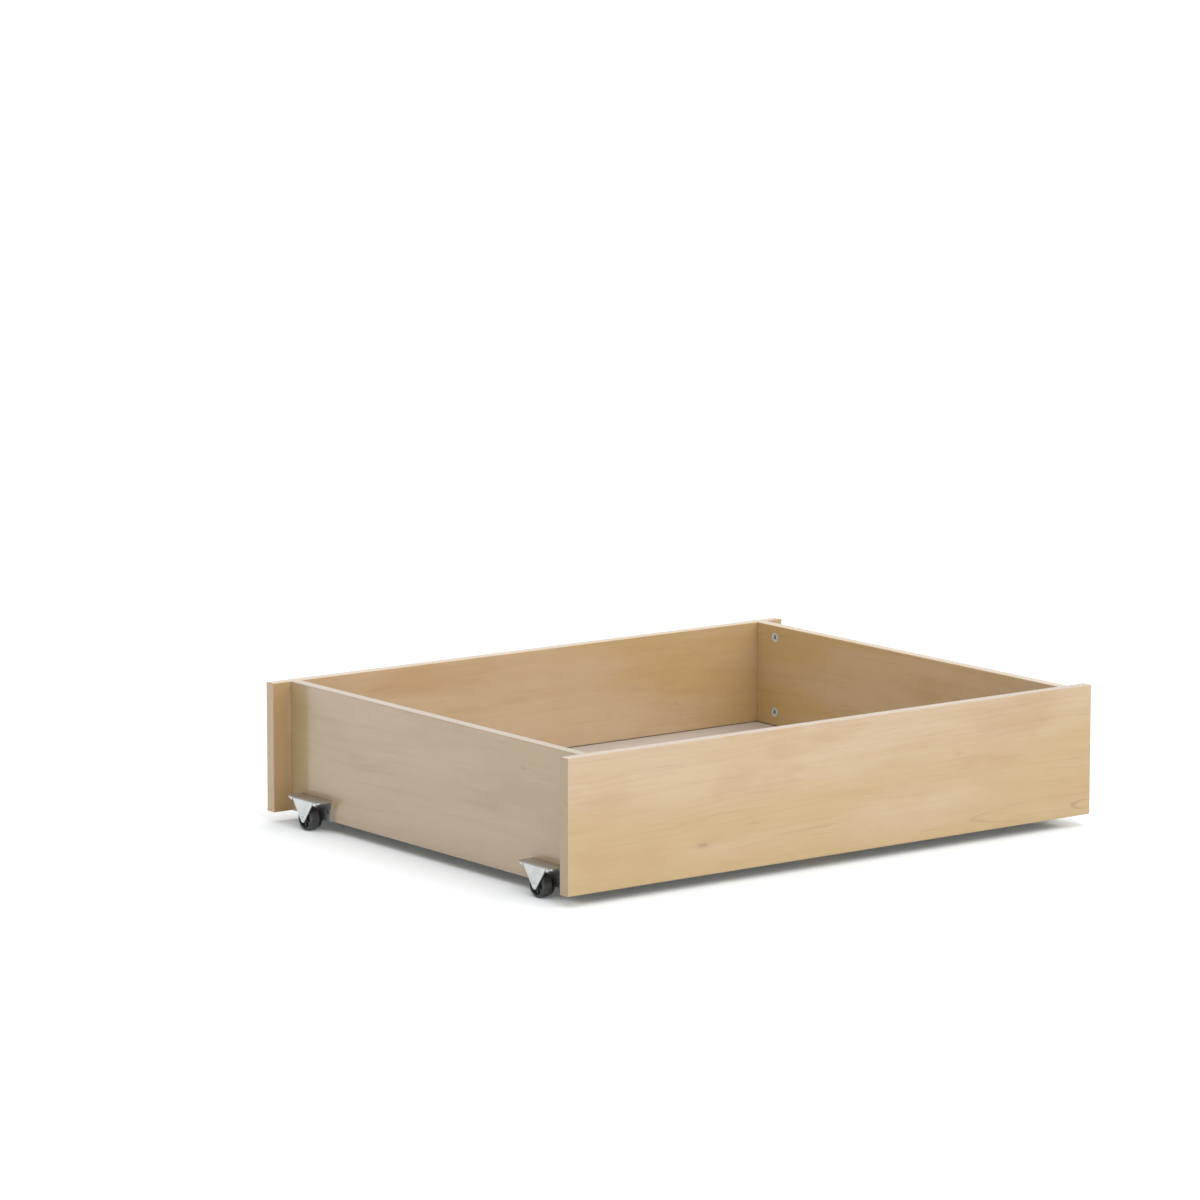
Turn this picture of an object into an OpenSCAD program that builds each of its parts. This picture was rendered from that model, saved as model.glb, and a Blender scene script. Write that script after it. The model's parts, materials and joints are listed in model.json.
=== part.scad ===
// Rolling under-bed storage box: four boards held by cam fittings and
// dowels, a thin bottom in grooves on a centre rail, and four fixed
// casters screwed to the outside of the side boards.
// Frame: +X right, +Y to the back, +Z up, origin on the floor under the
// middle of the box.

/* [Boards] */
// Width of the front and back boards
box_w = 950; // [700:10:1100]
// Depth from the front face to the back face
box_d = 740; // [560:10:860]
// Height of the four boards
board_h = 192; // [185:1:260]
// Thickness of the four boards
board_t = 18; // [17:1:22]
// Length of the front and back boards past the side boards
overhang = 31; // [29:1:45]

/* [Bottom] */
// Thickness of the bottom board
base_t = 4; // [3:0.5:5]
// Height of the bottom board's top face above the boards' lower edges
base_h = 35; // [33:1:38]
// Depth of the grooves that hold the bottom board
groove_d = 8; // [6:0.5:8]
// Width of the rail under the middle of the bottom board
rail_w = 45; // [40:1:70]
// Thickness of that rail
rail_t = 18; // [16:1:18]

/* [Corner fittings] */
// Diameter of the cam locks' holes
cam_d = 15; // [15:0.5:16]
// Distance from the end of a side board to its cam locks
cam_y = 44; // [40:1:50]
// Height of the lower cam lock above the boards' lower edges
cam_low = 56.5; // [54:0.5:60]
// Height of the upper cam lock above the boards' lower edges
cam_high = 174; // [160:0.5:176]
// Diameter of the wooden dowels
dowel_d = 8; // [6:1:8]
// Length of the wooden dowels
dowel_l = 30; // [26:1:30]

/* [Casters] */
// Diameter of the wheels
wheel_d = 35; // [32:1:36]
// Width of the wheels' tread
tread_w = 16.5; // [14:0.5:17]
// Height of the boards' lower edges above the floor
clear_h = 16.5; // [15:0.5:18]
// Distance of each caster's middle from the middle of the side board
caster_y = 285.5; // [180:0.5:290]
// Length of the bracket's mounting plate
plate_l = 80; // [76:1:90]
// Height of the bracket's top plate above the boards' lower edges
plate_top = 30.5; // [29:0.5:34]
// Width of the bracket from the side board to its outer ear
plate_w = 25.5; // [25.5:0.5:27]
// Thickness of the bracket's sheet steel
sheet_t = 1.5; // [1.5:0.1:1.6]
// Diameter of the axle rivets
axle_d = 5; // [4:0.5:5]

/* [Hidden] */
$fn = 48;
eps = 0.01;
gap = 0.05;                          // radial clearance of every fit
side_out = box_w/2 - overhang;       // outer face of a side board
side_in  = side_out - board_t;       // inner face of a side board
inner_y  = box_d/2 - board_t;        // inner face of the front and back boards
z0 = clear_h;                        // lower edges of the boards
base_top = z0 + base_h;
base_bot = base_top - base_t;
side_mid = side_in + board_t/2;      // middle of a side board's thickness
cam_zs = [z0 + cam_low, z0 + cam_high];
dowel_zs = [z0 + 15, z0 + 115];
rail_dx = rail_w/2 - 11;             // the rail's dowels, from its middle
rail_z  = base_bot - rail_t/2;
dowel_in = 10.5;                     // dowel depth in the front and back boards
axle_z  = wheel_d/2;                 // the wheels stand on the floor
az      = axle_z - z0;               // the axle, from the boards' lower edges
screw_y = plate_l/2 - 10;            // a bracket's screw holes, from its middle
screw_z = 13;
bend_r  = 2.6;                       // outside radius of the bracket's bends
ear_l   = 52;                        // length of the outer ear at its top
tip_r   = 5.6;                       // rounded tip of the outer ear
lobe_r  = 15.5;                      // rounded inner leg around the axle
head_r  = 4.1;                       // rivet head on the outer ear
tread_x = plate_w - 3 - tread_w;     // inner edge of the tread, from the board

birch   = [0.84, 0.74, 0.59];
pale    = [0.76, 0.73, 0.71];
pine    = [0.86, 0.76, 0.56];
beech   = [0.80, 0.64, 0.44];
zinc    = [0.76, 0.77, 0.78];
bright  = [0.86, 0.86, 0.87];
black   = [0.09, 0.09, 0.09];

// ---------------------------------------------------------------- helpers

// A cylinder along +Y, from y to y + l
module rod_y(x, y, z, r, l) {
    translate([x, y, z]) rotate([-90, 0, 0]) cylinder(r = r, h = l);
}

// A cylinder along +X, from x to x + l
module rod_x(x, y, z, r, l) {
    translate([x, y, z]) rotate([0, 90, 0]) cylinder(r = r, h = l);
}

// Two crossed slots cut along +X into a face at x = 0
module cross_cut(len, wid, deep) {
    for (a = [0, 90])
        rotate([a, 0, 0])
            translate([-eps, -len/2, -wid/2]) cube([deep + eps, len, wid]);
}

// The same thing at both ends of the box, mirrored front to back
module at_side(back) {
    if (back) mirror([0, 1, 0]) children(); else children();
}

// The same thing on the left, mirrored from the right
module on_side(left) {
    if (left) mirror([1, 0, 0]) children(); else children();
}

// ----------------------------------------------------------------- boards

// The front board; the back board is its mirror image
module long_board() {
    difference() {
        translate([-box_w/2, -box_d/2, z0]) cube([box_w, board_t, board_h]);
        // groove for the bottom board, stopped before the ends
        translate([-side_in - groove_d, -inner_y - groove_d, base_bot - 0.15])
            cube([2*(side_in + groove_d), groove_d + 1, base_t + 0.3]);
        for (s = [-1, 1]) {
            // cam bolts screw in here
            for (z = cam_zs)
                rod_y(s*side_mid, -inner_y - 12, z, 2.95 + gap, 13);
            for (z = dowel_zs)
                rod_y(s*side_mid, -inner_y - dowel_in - 0.5, z, dowel_d/2, dowel_in + 1.5);
            rod_y(s*rail_dx, -inner_y - dowel_in - 0.5, rail_z, dowel_d/2, dowel_in + 1.5);
        }
    }
}

module front_panel() { color(birch) long_board(); }
module back_panel()  { color(birch) at_side(true) long_board(); }

// The right side board; the left one is its mirror image
module side_board() {
    difference() {
        translate([side_in, -inner_y, z0]) cube([board_t, 2*inner_y, board_h]);
        translate([side_in - 1, -inner_y - 1, base_bot - 0.15])
            cube([groove_d + 1, 2*inner_y + 2, base_t + 0.3]);
        for (s = [0, 1]) at_side(s == 1) {
            for (z = cam_zs) {
                rod_x(side_in - 1, -inner_y + cam_y, z, cam_d/2, 13.7);
                rod_y(side_mid, -inner_y - 1, z, 4, cam_y + 1 - cam_d/2 + 1);
            }
            for (z = dowel_zs)
                rod_y(side_mid, -inner_y - 1, z, dowel_d/2, dowel_l - dowel_in + 1.5);
        }
        // pilot holes of the casters' screws
        for (y = [-caster_y, caster_y], d = [-screw_y, screw_y])
            rod_x(side_out - 14.5, y + d, z0 + screw_z, 1.9 + gap, 15.5);
    }
}

module right_side_panel() { color(birch) side_board(); }
module left_side_panel()  { color(birch) on_side(true) side_board(); }

module bottom_panel() {
    color(pale)
        translate([-side_in - groove_d + 0.5, -inner_y - groove_d + 0.5, base_bot])
            cube([2*(side_in + groove_d) - 1, 2*(inner_y + groove_d) - 1, base_t]);
}

// Rail that carries the bottom board, doweled to the front and back boards
module centre_rail() {
    color(pine) difference() {
        translate([-rail_w/2, -inner_y, base_bot - rail_t]) cube([rail_w, 2*inner_y, rail_t]);
        for (s = [-1, 1], b = [0, 1]) at_side(b == 1)
            rod_y(s*rail_dx, -inner_y - 1, rail_z, dowel_d/2, dowel_l - dowel_in + 1.5);
    }
}

// --------------------------------------------------------- corner fittings

// A dowel with chamfered ends, starting inside the front board
module dowel(x, z) {
    r = dowel_d/2 - gap;
    translate([x, -inner_y - dowel_in, z]) rotate([-90, 0, 0]) {
        cylinder(r1 = r - 1, r2 = r, h = 1);
        translate([0, 0, 1]) cylinder(r = r, h = dowel_l - 2);
        translate([0, 0, dowel_l - 1]) cylinder(r1 = r, r2 = r - 1, h = 1);
    }
}

module corner_dowels() {
    for (s = [-1, 1], z = dowel_zs) dowel(s*side_mid, z);
}

module corner_dowels_front() { color(beech) corner_dowels(); }
module corner_dowels_back()  { color(beech) at_side(true) corner_dowels(); }

module rail_dowels() {
    color(beech) for (s = [-1, 1], b = [0, 1]) at_side(b == 1) dowel(s*rail_dx, rail_z);
}

// A cam bolt: coarse thread in the long board, collar, shaft, neck and head
module cam_bolt(x, z) {
    turns = 5;
    translate([x, -inner_y, z]) rotate([-90, 0, 0]) rotate_extrude() polygon(concat(
        [[0, -11.5], [2.1, -11.5]],
        [for (i = [0:turns - 1], k = [0, 1])
            [k == 0 ? 2.1 : 2.95, -11.2 + (i + 0.5*k)*2.15]],
        [[2.1, -0.45], [2.1, 0.1], [3.7, 0.1], [3.7, 2.1], [3.0, 2.3],
         [3.0, cam_y - 8.2], [2.2, cam_y - 7.6], [2.2, cam_y - 3],
         [3.3, cam_y - 2], [3.3, cam_y + 0.4], [2.4, cam_y + 1.4], [0, cam_y + 1.6]]));
}

module cam_bolts() {
    for (s = [-1, 1], z = cam_zs) cam_bolt(s*side_mid, z);
}

module cam_bolts_front() { color(zinc) cam_bolts(); }
module cam_bolts_back()  { color(zinc) at_side(true) cam_bolts(); }

// A cam lock in the right side board, its crossed recess on the inside
module cam_lock(z) {
    translate([side_in, -inner_y + cam_y, z]) difference() {
        union() {
            rod_x(0.2, 0, 0, cam_d/2 - 0.15, 1.2);
            rod_x(1.2, 0, 0, cam_d/2 - 0.35, 11);
        }
        translate([0.2, 0, 0]) rotate([45, 0, 0]) cross_cut(8.6, 1.7, 3.4);
        // cavity that takes the head of the bolt, and the slot for its neck
        translate([board_t/2, 0, 0]) {
            rod_y(0, -4, 0, 3.9, 7);
            rod_y(0, -9, 0, 2.7, 6);
        }
    }
}

module cam_locks() {
    for (b = [0, 1], z = cam_zs) at_side(b == 1) cam_lock(z);
}

module cam_locks_right() { color(bright) cam_locks(); }
module cam_locks_left()  { color(bright) on_side(true) cam_locks(); }

// ---------------------------------------------------------------- casters
// Drawn on the right side board: x runs outwards from its outer face, y along
// it and z up from its lower edge.

// A quarter of a bend in the sheet, seen from its end
module bend_2d() {
    intersection() {
        difference() { circle(r = bend_r); circle(r = bend_r - sheet_t); }
        square(bend_r + 1);
    }
}

// Section of the bracket: mounting leg, bend, top plate and outer bend
module section_2d() {
    translate([0, -1]) square([sheet_t, plate_top - bend_r + 1]);
    translate([bend_r, plate_top - bend_r]) mirror([1, 0]) bend_2d();
    translate([bend_r, plate_top - sheet_t])
        square([plate_w - 2*bend_r, sheet_t]);
    translate([plate_w - bend_r, plate_top - bend_r]) bend_2d();
}

// Outer ear with its rounded tip, and the short lips beside it
module ear_2d() {
    top = plate_top - bend_r;
    d = norm([ear_l/2, top - az]);
    // tangent points of the ear's sloping edges on its rounded tip
    a = atan2(top - az, ear_l/2) - acos(tip_r/d);
    t = [tip_r*cos(a), az + tip_r*sin(a)];
    polygon([[-ear_l/2, top], [-t[0], t[1]], [t[0], t[1]], [ear_l/2, top]]);
    translate([0, az]) circle(r = tip_r);
    for (s = [-1, 1])
        polygon([[s*(ear_l/2 - 1), top], [s*(ear_l/2 + 2), top - 3.2],
                 [s*(plate_l/2 - 4), top]]);
}

// A rectangle from x = 0 with its two far corners rounded
module far_round(w, l, r) {
    translate([0, -l/2]) square([w - r, l]);
    translate([0, -l/2 + r]) square([w, l - 2*r]);
    for (s = [-1, 1]) translate([w - r, s*(l/2 - r)]) circle(r = r);
}

module bracket() {
    difference() {
        union() {
            intersection() {
                rotate([90, 0, 0]) linear_extrude(height = plate_l, center = true) section_2d();
                translate([-1, 0, -5]) linear_extrude(height = plate_top + 10)
                    far_round(plate_w + 1, plate_l, 4);
            }
            translate([plate_w - sheet_t, 0, 0]) rotate([90, 0, 90])
                linear_extrude(height = sheet_t) ear_2d();
            rod_x(0, 0, az, lobe_r, sheet_t);
        }
        // relief notches between the ear and the lips
        for (s = [-1, 1])
            translate([plate_w - 4, s*(ear_l/2 + 0.55) - 0.55, plate_top - 9])
                cube([5, 1.1, 7.1]);
        // axle rivet
        rod_x(-1, 0, az, axle_d/2 + gap, plate_w + 2);
        translate([-0.2, 0, az]) rotate([0, 90, 0])
            cylinder(r1 = axle_d/2 + 1.7, r2 = axle_d/2 + gap, h = 1.3);
        // countersunk holes of the screws
        for (s = [-1, 1]) {
            rod_x(-1, s*screw_y, screw_z, 2.15, 5);
            translate([0.3, s*screw_y, screw_z]) rotate([0, 90, 0])
                cylinder(r1 = 2.15, r2 = 2.15 + 1.125*(sheet_t - 0.1), h = sheet_t - 0.1);
        }
    }
}

module rivet() {
    r = axle_d/2;
    translate([0, 0, az]) rotate([0, 90, 0]) rotate_extrude() polygon(concat(
        [[0, 0.1], [r + 1.2, 0.1], [r, 1.15], [r, plate_w], [head_r, plate_w]],
        [for (k = [1:7]) [head_r*cos(k*10), plate_w + 1.5*sin(k*10)]],
        [[1.0, plate_w + 1.48], [0.8, plate_w + 0.7], [0, plate_w + 0.6]]));
}

// Two countersunk wood screws, their heads flush with the mounting plate
module bracket_screws() {
    for (s = [-1, 1]) translate([sheet_t, s*screw_y, screw_z]) difference() {
        rotate([0, 90, 0]) rotate_extrude() polygon([
            [0, -15], [0.5, -15], [1.9, -11.5], [1.9, -1.25], [3.3, -0.05],
            [3.1, 0.1], [0, 0.1]]);
        translate([0.1, 0, 0]) mirror([1, 0, 0]) cross_cut(3.2, 0.8, 1.1);
    }
}

// Wheel: hub, web with ribs, and a rim with a rounded tread
module wheel() {
    r = wheel_d/2;
    e = 3;                            // rounding of the tread's edges
    rim = r - 4;                      // inner radius of the rim
    x0 = tread_x;
    x1 = tread_x + tread_w;
    mid = (x0 + x1)/2;
    hub = axle_d/2 + 3.2;
    web = 3.5;                        // half the thickness of the web
    translate([0, 0, az]) difference() {
        union() {
            rotate([0, 90, 0]) rotate_extrude() polygon(concat(
                [[axle_d/2 + gap, sheet_t + 0.5], [hub, sheet_t + 0.5], [hub, mid - web],
                 [rim, mid - web], [rim, x0 + 1.2], [rim + 0.8, x0]],
                [for (k = [0:5]) [r - e + e*sin(k*18), x0 + e - e*cos(k*18)]],
                [for (k = [0:5]) [r - e + e*cos(k*18), x1 - e + e*sin(k*18)]],
                [[rim + 0.8, x1], [rim, x1 - 1.2], [rim, mid + web],
                 [hub, mid + web], [hub, plate_w - sheet_t - 0.5],
                 [axle_d/2 + gap, plate_w - sheet_t - 0.5]]));
            for (k = [0:5]) rotate([k*60, 0, 0])
                translate([x0 + 2.2, -0.8, hub - 0.6])
                    cube([tread_w - 4.4, 1.6, rim - hub + 1]);
        }
    }
}

// Puts a caster's piece in its place: left or right, front or back
module caster(left, back) {
    on_side(left)
        translate([side_out, back ? caster_y : -caster_y, z0]) children();
}

module caster_bracket_front_left()  { color(zinc) caster(true, false)  bracket(); }
module caster_bracket_front_right() { color(zinc) caster(false, false) bracket(); }
module caster_bracket_back_left()   { color(zinc) caster(true, true)   bracket(); }
module caster_bracket_back_right()  { color(zinc) caster(false, true)  bracket(); }

module wheel_front_left()  { color(black) caster(true, false)  wheel(); }
module wheel_front_right() { color(black) caster(false, false) wheel(); }
module wheel_back_left()   { color(black) caster(true, true)   wheel(); }
module wheel_back_right()  { color(black) caster(false, true)  wheel(); }

module axle_rivet_front_left()  { color(bright) caster(true, false)  rivet(); }
module axle_rivet_front_right() { color(bright) caster(false, false) rivet(); }
module axle_rivet_back_left()   { color(bright) caster(true, true)   rivet(); }
module axle_rivet_back_right()  { color(bright) caster(false, true)  rivet(); }

module bracket_screws_front_left()  { color(bright) caster(true, false)  bracket_screws(); }
module bracket_screws_front_right() { color(bright) caster(false, false) bracket_screws(); }
module bracket_screws_back_left()   { color(bright) caster(true, true)   bracket_screws(); }
module bracket_screws_back_right()  { color(bright) caster(false, true)  bracket_screws(); }

front_panel();
back_panel();
left_side_panel();
right_side_panel();
bottom_panel();
centre_rail();
corner_dowels_front();
corner_dowels_back();
rail_dowels();
cam_bolts_front();
cam_bolts_back();
cam_locks_left();
cam_locks_right();
caster_bracket_front_left();
caster_bracket_front_right();
caster_bracket_back_left();
caster_bracket_back_right();
wheel_front_left();
wheel_front_right();
wheel_back_left();
wheel_back_right();
axle_rivet_front_left();
axle_rivet_front_right();
axle_rivet_back_left();
axle_rivet_back_right();
bracket_screws_front_left();
bracket_screws_front_right();
bracket_screws_back_left();
bracket_screws_back_right();
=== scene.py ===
import json
import math

import bmesh
import bpy
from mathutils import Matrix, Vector
from mathutils.kdtree import KDTree

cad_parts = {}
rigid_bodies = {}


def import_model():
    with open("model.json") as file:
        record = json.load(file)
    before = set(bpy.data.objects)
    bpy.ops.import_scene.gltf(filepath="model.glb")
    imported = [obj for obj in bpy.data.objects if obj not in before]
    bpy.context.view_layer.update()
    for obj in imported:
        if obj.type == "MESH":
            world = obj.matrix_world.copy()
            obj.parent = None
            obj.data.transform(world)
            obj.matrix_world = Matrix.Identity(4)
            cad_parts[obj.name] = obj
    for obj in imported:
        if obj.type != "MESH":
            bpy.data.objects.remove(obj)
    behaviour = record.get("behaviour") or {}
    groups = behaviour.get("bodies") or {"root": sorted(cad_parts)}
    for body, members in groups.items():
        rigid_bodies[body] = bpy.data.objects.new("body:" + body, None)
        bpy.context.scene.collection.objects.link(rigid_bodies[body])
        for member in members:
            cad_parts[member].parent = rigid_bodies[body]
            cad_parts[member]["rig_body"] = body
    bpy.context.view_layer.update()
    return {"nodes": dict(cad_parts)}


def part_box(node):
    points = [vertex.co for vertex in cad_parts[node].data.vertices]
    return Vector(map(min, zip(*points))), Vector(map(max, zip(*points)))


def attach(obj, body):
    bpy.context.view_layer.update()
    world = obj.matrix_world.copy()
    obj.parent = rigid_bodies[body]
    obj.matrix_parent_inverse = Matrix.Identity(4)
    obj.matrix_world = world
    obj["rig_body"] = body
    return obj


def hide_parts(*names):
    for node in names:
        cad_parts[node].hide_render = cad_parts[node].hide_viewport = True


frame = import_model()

NODES = frame["nodes"]
scene = bpy.context.scene


# --------------------------------------------------------------- small tools

def lin(r, g, b):
    """A display colour, 0 to 255, as linear light."""
    def one(c):
        c /= 255.0
        return c / 12.92 if c <= 0.04045 else ((c + 0.055) / 1.055) ** 2.4
    return (one(r), one(g), one(b), 1.0)


class Tree:
    """Short ways to build a material's nodes."""

    def __init__(self, name):
        self.mat = bpy.data.materials.new(name)
        self.mat.use_nodes = True
        self.t = self.mat.node_tree
        self.t.nodes.clear()
        self.out = self.t.nodes.new("ShaderNodeOutputMaterial")
        self.bsdf = self.t.nodes.new("ShaderNodeBsdfPrincipled")
        self.t.links.new(self.bsdf.outputs[0], self.out.inputs[0])
        self.coord = self.t.nodes.new("ShaderNodeTexCoord").outputs["Object"]

    def put(self, socket, value):
        if isinstance(value, bpy.types.NodeSocket):
            self.t.links.new(value, socket)
        elif value is not None:
            socket.default_value = value

    def math(self, op, a, b=None, c=None, clamp=False):
        n = self.t.nodes.new("ShaderNodeMath")
        n.operation = op
        n.use_clamp = clamp
        for i, v in enumerate((a, b, c)):
            self.put(n.inputs[i], v)
        return n.outputs[0]

    def xyz(self, v):
        n = self.t.nodes.new("ShaderNodeSeparateXYZ")
        self.put(n.inputs[0], v)
        return n.outputs

    def vec(self, x, y, z):
        n = self.t.nodes.new("ShaderNodeCombineXYZ")
        for i, v in enumerate((x, y, z)):
            self.put(n.inputs[i], v)
        return n.outputs[0]

    def scaled(self, v, scale, shift=(0, 0, 0)):
        n = self.t.nodes.new("ShaderNodeMapping")
        self.put(n.inputs["Vector"], v)
        n.inputs["Location"].default_value = shift
        n.inputs["Scale"].default_value = scale
        return n.outputs[0]

    def noise(self, v, scale=1.0, detail=2.0, rough=0.5, distort=0.0):
        n = self.t.nodes.new("ShaderNodeTexNoise")
        self.put(n.inputs["Vector"], v)
        n.inputs["Scale"].default_value = scale
        n.inputs["Detail"].default_value = detail
        n.inputs["Roughness"].default_value = rough
        n.inputs["Distortion"].default_value = distort
        return n.outputs["Fac"]

    def cells(self, v, scale=1.0, feature="F1", out="Distance", rnd=1.0):
        n = self.t.nodes.new("ShaderNodeTexVoronoi")
        n.feature = feature
        self.put(n.inputs["Vector"], v)
        n.inputs["Scale"].default_value = scale
        n.inputs["Randomness"].default_value = rnd
        return n.outputs[out]

    def span(self, v, a, b, lo=0.0, hi=1.0, smooth=True):
        """v from a..b to lo..hi, held at the ends."""
        n = self.t.nodes.new("ShaderNodeMapRange")
        n.interpolation_type = "SMOOTHSTEP" if smooth else "LINEAR"
        self.put(n.inputs["Value"], v)
        n.inputs["From Min"].default_value = a
        n.inputs["From Max"].default_value = b
        n.inputs["To Min"].default_value = lo
        n.inputs["To Max"].default_value = hi
        return n.outputs["Result"]

    def mix(self, fac, a, b, mode="MIX"):
        n = self.t.nodes.new("ShaderNodeMix")
        n.data_type = "RGBA"
        n.blend_type = mode
        self.put(n.inputs[0], fac)
        self.put(n.inputs[6], a)
        self.put(n.inputs[7], b)
        return n.outputs[2]

    def bump(self, height, strength, distance, normal=None):
        n = self.t.nodes.new("ShaderNodeBump")
        n.inputs["Strength"].default_value = strength
        n.inputs["Distance"].default_value = distance
        self.put(n.inputs["Height"], height)
        if normal is not None:
            self.put(n.inputs["Normal"], normal)
        return n.outputs[0]

    def set(self, **kw):
        for k, v in kw.items():
            self.put(self.bsdf.inputs[k.replace("_", " ")], v)
        return self.mat


# ------------------------------------------------------------------ materials

def wood(name, along, seed, pith, lean, rings=0.011, knots=(), figures=(), tones=None,
         lines=0.12, tilt=0.0, middle=0.0, drift=None, tips=None, cloudy=1.0, rough=0.30,
         coat=1.0, ends=None, face=None):
    """Light close-grained lacquered wood as a solid texture. along is the row axis that
    the grain follows, pith is (height, depth) of the heart line near the board, and lean
    is how fast the heart line leaves the board, which draws the flames of a sawn face.
    figures are places (along, up, half length, half height, strength) where the flames
    show; tilt makes the board pinker above the middle and yellower below it, drift (how
    fast, from where) makes it yellower along the grain, and tips is how far from the
    middle the two ends of its inner face are painted darker, as painted shade in the corner
    against the side boards. ends is half the board's length: the cut ends are greyer and
    darker, partly the colour of end grain with the ends of the fibres and partly painted
    shade. face is where the board's inner face lies; a strip of painted shade runs along it
    just above the bottom board, where the mouth of its groove would lie in shadow."""
    t = Tree(name)
    x, y, z = t.xyz(t.coord)
    u, v, w = (x, z, y) if along == "X" else (y, z, x)
    p = t.vec(u, v, w)
    o1 = (seed * 3.7, seed * 1.9, seed * 5.3)
    o2 = (seed * 5.1, seed * 2.3, seed * 1.3)
    o3 = (seed * 2.9, seed * 4.7, seed * 3.1)
    # the grain wanders slowly across the board
    slow = t.noise(t.scaled(p, (1.3, 4.0, 4.0), o1), 1.0, 2.0, 0.5)
    curl = t.noise(t.scaled(p, (3.6, 15.0, 15.0), o2), 1.0, 3.0, 0.55)
    vw = t.math("MULTIPLY_ADD", t.math("SUBTRACT", slow, 0.5), 0.060, v)
    vw = t.math("MULTIPLY_ADD", t.math("SUBTRACT", curl, 0.5), 0.012, vw)
    # knots push the grain aside and darken
    dark = 0.0
    for ku, kv, size, depth in knots:
        du = t.math("MULTIPLY", t.math("SUBTRACT", u, ku), 0.36)
        dv = t.math("SUBTRACT", v, kv)
        rr = t.math("SQRT", t.math("ADD", t.math("MULTIPLY", du, du), t.math("MULTIPLY", dv, dv)))
        wob = t.math("MULTIPLY_ADD", t.math("SUBTRACT", curl, 0.5), size * 1.6, rr)
        push = t.span(rr, size * 4.5, 0.0, 0.0, size * 1.4)
        side = t.span(dv, -size * 1.5, size * 1.5, -1.0, 1.0)
        vw = t.math("ADD", vw, t.math("MULTIPLY", push, side))
        core = t.math("MULTIPLY", t.span(wob, size * 1.25, size * 0.15, 0.0, 1.0), depth)
        halo = t.math("MULTIPLY", t.span(wob, size * 2.6, size * 0.8, 0.0, 1.0), depth * 0.22)
        dark = t.math("MAXIMUM", dark, t.math("MAXIMUM", core, halo))
    g = t.vec(u, vw, w)
    # growth rings round the heart line, each with its own strength
    pv, pw = pith
    deep = t.math("MULTIPLY_ADD", u, lean, pw)
    a = t.math("SUBTRACT", vw, pv)
    b = t.math("SUBTRACT", w, deep)
    d = t.math("SQRT", t.math("ADD", t.math("MULTIPLY", a, a), t.math("MULTIPLY", b, b)))
    rag = t.noise(t.scaled(p, (26.0, 150.0, 150.0), o3), 1.0, 3.0, 0.6)
    d = t.math("MULTIPLY_ADD", t.math("SUBTRACT", rag, 0.5), 0.0022, d)
    wave = t.noise(t.scaled(p, (7.0, 45.0, 45.0), o3), 1.0, 2.0, 0.5)
    ring = t.math("MULTIPLY_ADD", t.math("SUBTRACT", wave, 0.5), 0.8, t.math("DIVIDE", d, rings))
    frac = t.math("FRACT", ring)
    late = t.math("MULTIPLY", t.span(frac, 0.45, 0.92), t.span(frac, 1.0, 0.93))
    edge = t.math("MULTIPLY", t.span(frac, 0.80, 0.92), t.span(frac, 1.0, 0.94))
    per = t.noise(t.vec(t.math("MULTIPLY", t.math("FLOOR", ring), 7.31), seed * 1.3, 0.0), 1.0, 0.0)
    fade = t.noise(t.scaled(p, (3.4, 11.0, 11.0), o2), 1.0, 2.0, 0.5)
    strong = t.math("MULTIPLY", t.span(per, 0.36, 0.64, 0.15, 1.0), t.span(fade, 0.42, 0.64))
    late = t.math("MULTIPLY", late, strong)
    edge = t.math("MULTIPLY", edge, t.math("MULTIPLY", strong, lines))
    ring_line = t.math("MULTIPLY", t.span(frac, 0.86, 0.935), t.span(frac, 0.985, 0.945))
    for fu, fv, lu, lv, power in figures:
        du = t.math("DIVIDE", t.math("SUBTRACT", u, fu), lu)
        dv = t.math("DIVIDE", t.math("SUBTRACT", v, fv), lv)
        dd = t.math("SQRT", t.math("ADD", t.math("MULTIPLY", du, du), t.math("MULTIPLY", dv, dv)))
        dd = t.math("MULTIPLY_ADD", t.math("SUBTRACT", curl, 0.5), 0.9, dd)
        show = t.math("MULTIPLY", t.span(dd, 1.1, 0.45), power)
        edge = t.math("MAXIMUM", edge, t.math("MULTIPLY", ring_line, show))
    # streaks and fibre follow the wandering grain
    streak = t.noise(t.scaled(g, (2.6, 60.0, 60.0), o1), 1.0, 4.0, 0.60)
    thread = t.noise(t.scaled(g, (5.5, 190.0, 190.0), o3), 1.0, 3.0, 0.58)
    fibre = t.noise(t.scaled(g, (14.0, 800.0, 800.0), o1), 1.0, 3.0, 0.6)
    pore = t.span(t.noise(t.scaled(g, (45.0, 1100.0, 1100.0), o2), 1.0, 1.0, 0.5), 0.66, 0.74)
    fleck = t.noise(t.scaled(g, (15.0, 190.0, 190.0), o3), 1.0, 1.0, 0.5)
    fleck = t.math("MULTIPLY", t.span(fleck, 0.67, 0.80), t.span(fade, 0.48, 0.62))
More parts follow.
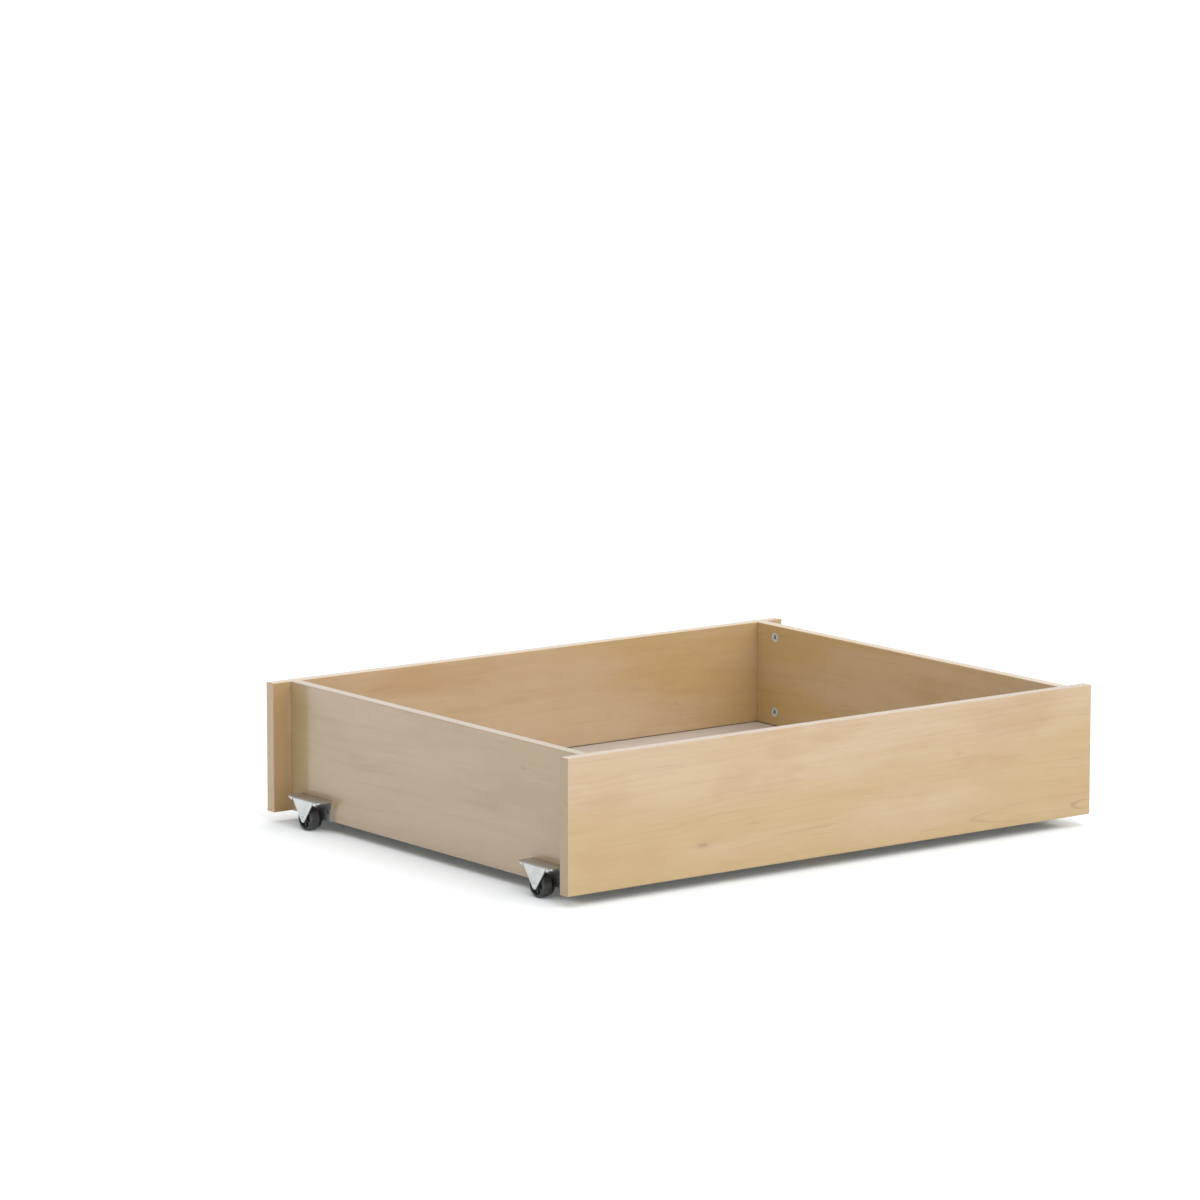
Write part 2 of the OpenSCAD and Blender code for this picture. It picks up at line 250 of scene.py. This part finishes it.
    # clouds of tone, longer than they are high
    wash = t.noise(t.scaled(p, (1.7, 7.5, 7.5), o3), 1.0, 3.0, 0.5)
    if tilt:
        wash = t.math("MULTIPLY_ADD", t.math("SUBTRACT", middle, v), tilt, wash)
    if drift:
        wash = t.math("MULTIPLY_ADD", t.math("SUBTRACT", u, drift[1]), drift[0], wash)
    cloud = t.noise(t.scaled(p, (4.5, 14.0, 14.0), o1), 1.0, 3.0, 0.55)
    ripple = t.noise(t.scaled(p, (22.0, 9.0, 9.0), o2), 1.0, 1.0, 0.5)
    pale, warm, deep_tone, line = tones or (
        lin(197, 168, 135), lin(191, 163, 114), lin(178, 144, 96), lin(142, 106, 68))
    col = t.mix(t.span(wash, 0.38, 0.62), pale, warm)
    col = t.mix(t.math("MULTIPLY", t.span(cloud, 0.48, 0.74), 0.50 * cloudy), col, deep_tone)
    col = t.mix(t.math("MULTIPLY", t.span(ripple, 0.45, 0.70), 0.07 * cloudy), col, deep_tone)
    col = t.mix(t.math("MULTIPLY", t.span(streak, 0.48, 0.80), 0.32 * cloudy), col, deep_tone)
    col = t.mix(t.math("MULTIPLY", t.span(streak, 0.46, 0.26), 0.26 * cloudy), col, pale)
    col = t.mix(t.math("MULTIPLY", t.span(thread, 0.52, 0.80), 0.15 * cloudy), col, line)
    col = t.mix(t.math("MULTIPLY", late, lines * 0.7), col, line)
    col = t.mix(edge, col, line)
    col = t.mix(t.math("MULTIPLY", t.span(fibre, 0.42, 0.75), 0.08), col, line)
    col = t.mix(t.math("MULTIPLY", pore, 0.16), col, line)
    col = t.mix(t.math("MULTIPLY", fleck, 0.22), col, line)
    if knots:
        col = t.mix(dark, col, lin(128, 88, 54))
    if tips:
        # painted shade: beyond tips, the inner face in the corner against the side boards is painted darker
        overhang_shade = t.math("MULTIPLY_ADD", t.math("SUBTRACT", curl, 0.5), 0.03, t.math("ABSOLUTE", u))
        overhang_shade = t.math("MULTIPLY", t.span(overhang_shade, tips - 0.012, tips + 0.012),
                      t.span(t.math("ABSOLUTE", t.math("SUBTRACT", w, face)), 0.0040, 0.0010))
        col = t.mix(t.math("MULTIPLY", overhang_shade, 0.75), col,
                    tuple(c * 0.80 for c in deep_tone[:3]) + (1.0,))
    rgh = t.math("MULTIPLY_ADD", fibre, 0.10, rough - 0.06)
    rgh = t.math("MULTIPLY_ADD", streak, 0.06, rgh)
    if ends:
        # partly end grain and partly painted shade: the cut ends are painted greyer and darker
        cut = t.span(t.math("ABSOLUTE", u), ends - 0.0012, ends - 0.0004)
        dots = t.noise(t.scaled(p, (300.0, 900.0, 1500.0), o2), 1.0, 3.0, 0.6)
        grey = (warm[0] * 0.75, warm[1] * 0.73, warm[2] * 0.84, 1.0)
        grey = t.mix(t.math("MULTIPLY", t.span(dots, 0.42, 0.72), 0.30), grey, line)
        grey = t.mix(t.math("MULTIPLY", late, 0.30), grey, line)
        col = t.mix(cut, col, grey)
    if face is not None:
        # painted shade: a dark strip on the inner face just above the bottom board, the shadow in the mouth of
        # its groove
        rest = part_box("bottom_panel")[1].z
        skin = t.span(t.math("ABSOLUTE", t.math("SUBTRACT", w, face)), 0.0010, 0.0004)
        groove_shade = t.math("MULTIPLY", t.span(v, rest - 0.0010, rest), t.span(v, rest + 0.0016, rest + 0.0007))
        if along == "X":
            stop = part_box("right_side_panel")[0].x
            groove_shade = t.math("MULTIPLY", groove_shade, t.span(t.math("ABSOLUTE", u), stop, stop - 0.0006))
        col = t.mix(t.math("MULTIPLY", t.math("MULTIPLY", skin, groove_shade), 0.82), col, lin(70, 56, 44))
    h = t.math("MULTIPLY_ADD", fibre, 0.5, t.math("MULTIPLY", late, 0.2))
    h = t.math("MULTIPLY_ADD", pore, -0.5, h)
    nrm = t.bump(h, 0.16, 0.00010)
    return t.set(Base_Color=col, Roughness=rgh, Normal=nrm, Coat_Weight=coat,
                 Coat_Roughness=0.14, IOR=1.5)


def bottom_board():
    """Thin fibreboard: pale grey foil with a faint grain on top, raw and mottled below."""
    t = Tree("bottom_board")
    lo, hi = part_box("bottom_panel")
    x, y, z = t.xyz(t.coord)
    p = t.vec(x, y, z)
    under = t.span(z, hi.z - 0.0012, hi.z - 0.0018, 0.0, 1.0)
    streak = t.noise(t.scaled(p, (2.5, 70.0, 1.0), (3, 1, 0)), 1.0, 4.0, 0.6)
    fine = t.noise(t.scaled(p, (14.0, 420.0, 1.0), (1, 4, 0)), 1.0, 3.0, 0.6)
    cloud = t.noise(t.scaled(p, (2.0, 5.0, 1.0), (7, 2, 0)), 1.0, 3.0, 0.5)
    top = t.mix(t.span(streak, 0.34, 0.74), lin(197, 186, 177), lin(181, 170, 160))
    top = t.mix(t.math("MULTIPLY", t.span(fine, 0.45, 0.75), 0.28), top, lin(162, 150, 142))
    top = t.mix(t.math("MULTIPLY", t.span(cloud, 0.4, 0.8), 0.25), top, lin(191, 177, 165))
    # painted shade: a dark line on the top along the walls, at the mouth of the grooves
    wall_x, wall_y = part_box("right_side_panel")[0].x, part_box("back_panel")[0].y
    reach = t.math("MAXIMUM", t.math("SUBTRACT", t.math("ABSOLUTE", x), wall_x),
                   t.math("SUBTRACT", t.math("ABSOLUTE", y), wall_y))
    reach = t.math("MULTIPLY_ADD", t.math("SUBTRACT", cloud, 0.5), 0.0012, reach)
    top = t.mix(t.span(reach, -0.0028, -0.0008, 0.0, 0.85), top, lin(74, 62, 54))
    chips = t.noise(t.scaled(p, (230.0, 330.0, 200.0)), 1.0, 4.0, 0.7)
    clump = t.noise(t.scaled(p, (28.0, 34.0, 30.0)), 1.0, 3.0, 0.6)
    raw = t.mix(t.span(chips, 0.34, 0.68), lin(158, 144, 128), lin(192, 180, 164))
    raw = t.mix(t.math("MULTIPLY", t.span(clump, 0.4, 0.7), 0.35), raw, lin(142, 126, 108))
    col = t.mix(under, top, raw)
    rgh = t.math("ADD", t.math("MULTIPLY", under, 0.42), t.math("MULTIPLY_ADD", fine, 0.12, 0.30))
    h = t.math("ADD", t.math("MULTIPLY", fine, 0.3), t.math("MULTIPLY", t.math("MULTIPLY", chips, under), 2.0))
    return t.set(Base_Color=col, Roughness=rgh, Normal=t.bump(h, 0.25, 0.00015))


def zinc_sheet(name, centre, seed):
    """Zinc-plated pressed sheet: rolling marks, faint spangle, handling scuffs."""
    t = Tree(name)
    p = t.scaled(t.coord, (1, 1, 1), tuple(-c for c in centre))
    off = (seed * 2.1, seed * 3.3, seed * 0.7)
    roll = t.noise(t.scaled(p, (900.0, 26.0, 900.0), off), 1.0, 3.0, 0.6)
    blotch = t.noise(t.scaled(p, (46.0, 46.0, 46.0), off), 1.0, 3.0, 0.5)
    spangle = t.cells(t.scaled(p, (210.0, 210.0, 210.0), off), 1.0, out="Color")
    sp = t.xyz(spangle)[0]
    scuff = t.noise(t.scaled(p, (120.0, 420.0, 900.0), off), 1.0, 2.0, 0.5)
    scuff = t.span(scuff, 0.66, 0.74)
    col = t.mix(t.span(blotch, 0.35, 0.7), lin(206, 208, 206), lin(196, 198, 197))
    col = t.mix(t.math("MULTIPLY", sp, 0.12), col, lin(222, 224, 225))
    col = t.mix(t.math("MULTIPLY", t.span(roll, 0.45, 0.75), 0.16), col, lin(170, 171, 171))
    col = t.mix(t.math("MULTIPLY", scuff, 0.25), col, lin(156, 154, 150))
    rgh = t.math("MULTIPLY_ADD", blotch, 0.10, 0.27)
    rgh = t.math("MULTIPLY_ADD", roll, 0.10, rgh)
    h = t.math("ADD", t.math("MULTIPLY", roll, 0.6), t.math("MULTIPLY", blotch, 0.5))
    return t.set(Base_Color=col, Metallic=1.0, Roughness=rgh, Normal=t.bump(h, 0.15, 0.00006))


def bright_metal(name, tint, rough, grain, seed, metal=1.0, recess=None):
    """Small plated or die-cast fittings: fine speckle, soft tarnish in patches. recess is
    the distance from the middle of the box at which a face lies; what lies deeper than it is painted nearly
    black, as painted shade in the recess."""
    t = Tree(name)
    off = (seed * 1.7, seed * 0.9, seed * 2.3)
    p = t.coord
    speck = t.noise(t.scaled(p, (grain, grain, grain), off), 1.0, 3.0, 0.6)
    tarnish = t.noise(t.scaled(p, (160.0, 160.0, 160.0), off), 1.0, 3.0, 0.6)
    dim = tuple(c * 0.62 for c in tint[:3]) + (1.0,)
    col = t.mix(t.math("MULTIPLY", t.span(tarnish, 0.40, 0.72), 0.55), tint, dim)
    col = t.mix(t.math("MULTIPLY", t.span(speck, 0.55, 0.75), 0.25), col, dim)
    if recess:
        # painted shade: the parts set deeper than the face at recess are painted nearly black
        behind = t.math("SUBTRACT", t.math("ABSOLUTE", t.xyz(p)[0]), recess)
        col = t.mix(t.span(behind, 0.0001, 0.0006, 0.0, 0.86), col, lin(38, 42, 44))
    rgh = t.math("MULTIPLY_ADD", speck, 0.14, rough)
    return t.set(Base_Color=col, Metallic=metal, Roughness=rgh, Normal=t.bump(speck, 0.15, 0.00006))


def wheel_plastic(name, centre, seed):
    """Moulded black plastic: fine texture, a scuffed dusty tread."""
    t = Tree(name)
    p = t.scaled(t.coord, (1, 1, 1), tuple(-c for c in centre))
    x, y, z = t.xyz(p)
    r = t.math("SQRT", t.math("ADD", t.math("MULTIPLY", y, y), t.math("MULTIPLY", z, z)))
    ang = t.math("ARCTAN2", z, y)
    off = (seed * 2.9, seed * 1.1, seed * 0.3)
    speck = t.noise(t.scaled(p, (1900.0, 1900.0, 1900.0), off), 1.0, 2.0, 0.5)
    patch = t.noise(t.scaled(p, (130.0, 130.0, 130.0), off), 1.0, 3.0, 0.6)
    # scratches run round the tread
    around = t.noise(t.scaled(t.vec(x, t.math("MULTIPLY", ang, 0.004), r), (1500.0, 900.0, 300.0), off),
                     1.0, 3.0, 0.6)
    tread = t.span(r, 0.0158, 0.0172)
    dust = t.math("MULTIPLY", tread, t.math("ADD", t.math("MULTIPLY", t.span(patch, 0.4, 0.7), 0.45),
                                            t.math("MULTIPLY", t.span(around, 0.5, 0.75), 0.35)))
    col = t.mix(t.span(patch, 0.3, 0.7), lin(54, 54, 55), lin(63, 63, 63))
    col = t.mix(dust, col, lin(92, 91, 89))
    rgh = t.math("ADD", t.math("MULTIPLY_ADD", speck, 0.12, 0.34), t.math("MULTIPLY", dust, 0.30))
    h = t.math("ADD", t.math("MULTIPLY", speck, 0.5), t.math("MULTIPLY", t.math("MULTIPLY", around, tread), 0.8))
    return t.set(Base_Color=col, Roughness=rgh, Normal=t.bump(h, 0.30, 0.00006))


# ------------------------------------------------------------------- meshes

def true_normals(me, src, reach):
    """Gives the faces kept from the solid its own exact normals, and blends the rounded
    arrises between them, so that flat faces stay flat up to the edge of the rounding."""
    normals = [tuple(n.vector) for n in src.corner_normals]
    seen = {}
    for i, loop in enumerate(src.loops):
        co = src.vertices[loop.vertex_index].co
        key = tuple(round(c, 6) for c in co) + tuple(round(c, 3) for c in normals[i])
        seen.setdefault(key, (co, Vector(normals[i])))
    points = list(seen.values())
    tree = KDTree(len(points))
    for i, (co, n) in enumerate(points):
        tree.insert(co, i)
    tree.balance()
    rounded = [v.value for v in me.attributes["rounded"].data]
    out = [None] * len(me.loops)
    kept_at, round_at = {}, {}
    for f in me.polygons:
        for li in f.loop_indices:
            vi = me.loops[li].vertex_index
            if rounded[f.index]:
                round_at.setdefault(vi, []).append((f.normal.copy(), f.area))
                continue
            best, score = f.normal, 0.90
            for co, i, dist in tree.find_range(me.vertices[vi].co, reach):
                s = points[i][1].dot(f.normal) - dist / reach * 1e-3
                if s > score:
                    best, score = points[i][1], s
            out[li] = best.copy()
            kept_at.setdefault(vi, []).append(out[li])
    for f in me.polygons:
        if not rounded[f.index]:
            continue
        for li in f.loop_indices:
            vi = me.loops[li].vertex_index
            near = [n for n in kept_at.get(vi, ()) if n.dot(f.normal) > 0.6]
            if near:
                out[li] = max(near, key=lambda n: n.dot(f.normal)).copy()
                continue
            total = Vector()
            for n, area in round_at[vi]:
                if n.dot(f.normal) > 0.3:
                    total += n * area
            out[li] = total.normalized() if total.length > 0 else f.normal.copy()
    me.attributes.remove(me.attributes["rounded"])
    me.shade_smooth()
    me.normals_split_custom_set([n.normalized() for n in out])


def from_node(node, name, bevel, segments, pick, weld=2e-6, dissolve=True):
    """A finished piece from a CAD node's own solid: the same shape and holes, with the
    arrises that pick(edge, lo, hi) chooses rounded off."""
    src = NODES[node]
    lo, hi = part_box(node)
    bm = bmesh.new()
    bm.from_mesh(src.data)
    bmesh.ops.remove_doubles(bm, verts=bm.verts, dist=weld)
    if dissolve:
        bmesh.ops.dissolve_limit(bm, angle_limit=0.0008, verts=bm.verts, edges=bm.edges)
    layer = bm.faces.layers.int.new("rounded")
    edges = [e for e in bm.edges if pick(e, lo, hi)]
    made = bmesh.ops.bevel(bm, geom=edges, offset=bevel, offset_type="OFFSET", segments=segments,
                           profile=0.5, affect="EDGES", clamp_overlap=True, miter_outer="SHARP")
    for f in made["faces"]:
        f[layer] = 1
    bmesh.ops.triangulate(bm, faces=[f for f in bm.faces if len(f.verts) > 4])
    me = bpy.data.meshes.new(name)
    bm.to_mesh(me)
    bm.free()
    true_normals(me, src.data, max(2.5 * bevel, 1e-5))
    obj = bpy.data.objects.new(name, me)
    scene.collection.objects.link(obj)
    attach(obj, src["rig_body"])
    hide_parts(node)
    return obj


def box_edge(e, lo, hi, tol=1e-5):
    """True for the outer edges of a board: both ends on the same two of its six faces."""
    shared = 0
    for axis in range(3):
        for plane in (lo[axis], hi[axis]):
            if all(abs(v.co[axis] - plane) < tol for v in e.verts):
                shared += 1
    return shared >= 2


def sheet_edge(e, lo, hi):
    """True for the cut edges of pressed sheet."""
    return len(e.link_faces) == 2 and e.calc_face_angle(0.0) > math.radians(55)


def cover(obj, mat):
    obj.data.materials.clear()
    obj.data.materials.append(mat)


# ------------------------------------------------------------------- boards

front_lo, front_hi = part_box("front_panel")
side_lo, side_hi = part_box("right_side_panel")
z_low, z_top = front_lo.z, front_hi.z
high = z_top - z_low
wide = front_hi.x - front_lo.x


def along(f):
    """A place along the front board, as a share of its width from the left."""
    return front_lo.x + f * wide


def up(f):
    """A height on the boards, as a share of their height."""
    return z_low + f * high


front = from_node("front_panel", "front_board", 0.0010, 4, box_edge)
back = from_node("back_panel", "back_board", 0.0010, 4, box_edge)
left = from_node("left_side_panel", "left_side_board", 0.0010, 4, box_edge)
right = from_node("right_side_panel", "right_side_board", 0.0010, 4, box_edge)

cover(front, wood("wood_front", "X", 1.37, (up(0.07), front_lo.y + 0.0383), -0.052, rings=0.0085, ends=wide / 2,
                  face=front_hi.y,
                  lines=0.10, tilt=2.2, middle=up(0.74),
                  tones=(lin(188, 161, 128), lin(180, 152, 104), lin(169, 133, 87), lin(139, 102, 66)),
                  knots=((along(0.246), up(0.225), 0.0038, 0.46),
                         (along(0.735), up(0.62), 0.0022, 0.25)),
                  figures=((along(0.79), up(0.08), 0.080, 0.026, 0.26),
                           (along(0.98), up(0.11), 0.062, 0.034, 0.46),
                           (along(0.34), up(0.52), 0.150, 0.022, 0.20),
                           (along(0.88), up(0.74), 0.090, 0.022, 0.18))))
cover(back, wood("wood_back", "X", 4.81, (up(0.45), front_hi.y + 0.80), 0.045, lines=0.09, ends=wide / 2,
                 face=-front_hi.y,
                 drift=(1.05, 0.25), tips=side_hi.x, knots=((along(0.78), up(0.42), 0.0026, 0.25),),
                 tones=(lin(201, 173, 138), lin(194, 163, 113), lin(183, 148, 99), lin(146, 109, 70))))
# The left board's tones are darker than the other boards': painted shade for its outer face, which is turned
# away from the light
cover(left, wood("wood_left", "Y", 7.93, (up(0.30), -side_hi.x - 0.055), 0.040, lines=0.08,
                 face=-side_lo.x,
                 knots=((-0.225, up(0.80), 0.0024, 0.32),),
                 tones=(lin(171, 147, 117), lin(165, 143, 103), lin(153, 127, 88), lin(129, 98, 66))))
cover(right, wood("wood_right", "Y", 11.2, (up(0.55), side_hi.x + 0.050), -0.050, lines=0.09,
                  face=side_lo.x,
                  knots=((0.16, up(0.36), 0.0024, 0.28),), drift=(0.45, 0.15),
                  tones=(lin(205, 177, 140), lin(198, 167, 113), lin(184, 148, 96), lin(146, 109, 68))))

base = from_node("bottom_panel", "bottom_board", 0.0004, 2, box_edge)
cover(base, bottom_board())

rail = from_node("centre_rail", "rail_board", 0.0015, 3, box_edge)
cover(rail, wood("wood_rail", "Y", 2.66, (z_low - 0.03, 0.012), 0.02, rings=0.0042, lines=0.75, rough=0.62,
                 coat=0.0, tones=(lin(222, 192, 144), lin(212, 176, 122), lin(196, 152, 96), lin(164, 110, 60))))

beech = wood("wood_dowel", "Y", 5.5, (0.30, 0.30), 0.0, rings=0.0021, lines=0.4, rough=0.6, coat=0.0,
             tones=(lin(205, 166, 124), lin(194, 150, 106), lin(176, 128, 84), lin(140, 94, 58)))
for n in ("corner_dowels_front", "corner_dowels_back", "rail_dowels"):
    cover(NODES[n], beech)


# ------------------------------------------------------- fittings and casters

steel = bright_metal("bolt_steel", lin(196, 196, 192), 0.30, 1500.0, 1.0)
cast = bright_metal("cam_casting", lin(222, 236, 242), 0.36, 1300.0, 2.0, metal=0.15,
                    recess=side_lo.x)
brassy = bright_metal("screw_yellow_zinc", lin(140, 108, 72), 0.36, 1500.0, 4.0)
rivet_steel = bright_metal("rivet_steel", lin(224, 224, 222), 0.26, 1700.0, 3.0)
for n in ("cam_bolts_front", "cam_bolts_back"):
    cover(NODES[n], steel)
for n in ("cam_locks_left", "cam_locks_right"):
    cover(NODES[n], cast)

for k, corner in enumerate(("front_left", "front_right", "back_left", "back_right")):
    lo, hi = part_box("wheel_" + corner)
    hub = (lo + hi) / 2
    bracket = from_node("caster_bracket_" + corner, "bracket_" + corner, 0.00022, 2, sheet_edge)
    cover(bracket, zinc_sheet("zinc_" + corner, tuple(hub), k + 1.0))
    cover(NODES["wheel_" + corner], wheel_plastic("plastic_" + corner, tuple(hub), k + 1.0))
    cover(NODES["axle_rivet_" + corner], rivet_steel)
    cover(NODES["bracket_screws_" + corner], brassy)


# -------------------------------------------------------------- floor, light

def floor():
    me = bpy.data.meshes.new("floor")
    s = 90.0
    me.from_pydata([(-s, -s, 0), (s, -s, 0), (s, s, 0), (-s, s, 0)], [], [(0, 1, 2, 3)])
    o = bpy.data.objects.new("floor", me)
    scene.collection.objects.link(o)
    t = Tree("floor_white")
    cloud = t.noise(t.scaled(t.coord, (3.0, 3.0, 3.0)), 1.0, 2.0, 0.5)
    col = t.mix(cloud, (0.90, 0.925, 0.94, 1), (0.92, 0.945, 0.96, 1))
    o.data.materials.append(t.set(Base_Color=col, Roughness=0.9, Specular_IOR_Level=0.0,
                                  Emission_Color=(0.80, 0.96, 1.0, 1), Emission_Strength=0.052))


def sun(name, azimuth, height, spread, power):
    """Soft light from far away: azimuth 0 is in front of the box, 90 on its right."""
    d = bpy.data.lights.new(name, "SUN")
    d.energy = power
    d.angle = math.radians(spread)
    o = bpy.data.objects.new(name, d)
    scene.collection.objects.link(o)
    az, el = math.radians(azimuth), math.radians(height)
    toward = Vector((math.sin(az) * math.cos(el), -math.cos(az) * math.cos(el), math.sin(el)))
    o.rotation_euler = toward.to_track_quat("Z", "Y").to_euler()
    return o


def studio(rim, low, high):
    """A plain white room: white at the horizon, dimmer overhead."""
    world = bpy.data.worlds.new("studio")
    world.use_nodes = True
    t = world.node_tree
    back = t.nodes["Background"]
    where = t.nodes.new("ShaderNodeTexCoord")
    split = t.nodes.new("ShaderNodeSeparateXYZ")
    ramp = t.nodes.new("ShaderNodeMapRange")
    ramp.interpolation_type = "SMOOTHSTEP"
    band = t.nodes.new("ShaderNodeMapRange")
    band.interpolation_type = "SMOOTHSTEP"
    both = t.nodes.new("ShaderNodeMath")
    t.links.new(where.outputs["Generated"], split.inputs[0])
    t.links.new(split.outputs[2], ramp.inputs["Value"])
    ramp.inputs["From Min"].default_value = 0.14
    ramp.inputs["From Max"].default_value = 0.55
    ramp.inputs["To Min"].default_value = low
    ramp.inputs["To Max"].default_value = high
    t.links.new(split.outputs[2], band.inputs["Value"])
    band.inputs["From Min"].default_value = 0.075
    band.inputs["From Max"].default_value = 0.125
    band.inputs["To Min"].default_value = rim - low
    band.inputs["To Max"].default_value = 0.0
    t.links.new(ramp.outputs["Result"], both.inputs[0])
    t.links.new(band.outputs["Result"], both.inputs[1])
    t.links.new(both.outputs[0], back.inputs[1])
    back.inputs[0].default_value = (1.0, 1.0, 1.0, 1.0)
    scene.world = world


floor()
studio(1.10, 0.60, 0.30)
sun("overhead", 50.0, 79.0, 104.0, 2.80)
sun("front_key", 5.0, 30.0, 60.0, 0.80)
sun("back_rim", 143.0, 14.0, 56.0, 0.20)

# ------------------------------------------------------------------- camera

yaw, pitch = math.radians(36.8304), math.radians(9.3516)
cam = bpy.data.cameras.new("camera")
cam.sensor_width = 36.0
cam.lens = 36.0 * 5649.5 / 1200.0
cam.clip_start = 0.05
cam.clip_end = 400.0
cam_obj = bpy.data.objects.new("camera", cam)
scene.collection.objects.link(cam_obj)
cam_obj.location = (-4.9552, -6.4260, 1.6513 + z_low)
away = Vector((-math.sin(yaw) * math.cos(pitch), -math.cos(yaw) * math.cos(pitch), math.sin(pitch)))
cam_obj.rotation_euler = away.to_track_quat("Z", "Y").to_euler()
scene.camera = cam_obj
scene.view_settings.view_transform = "Standard"
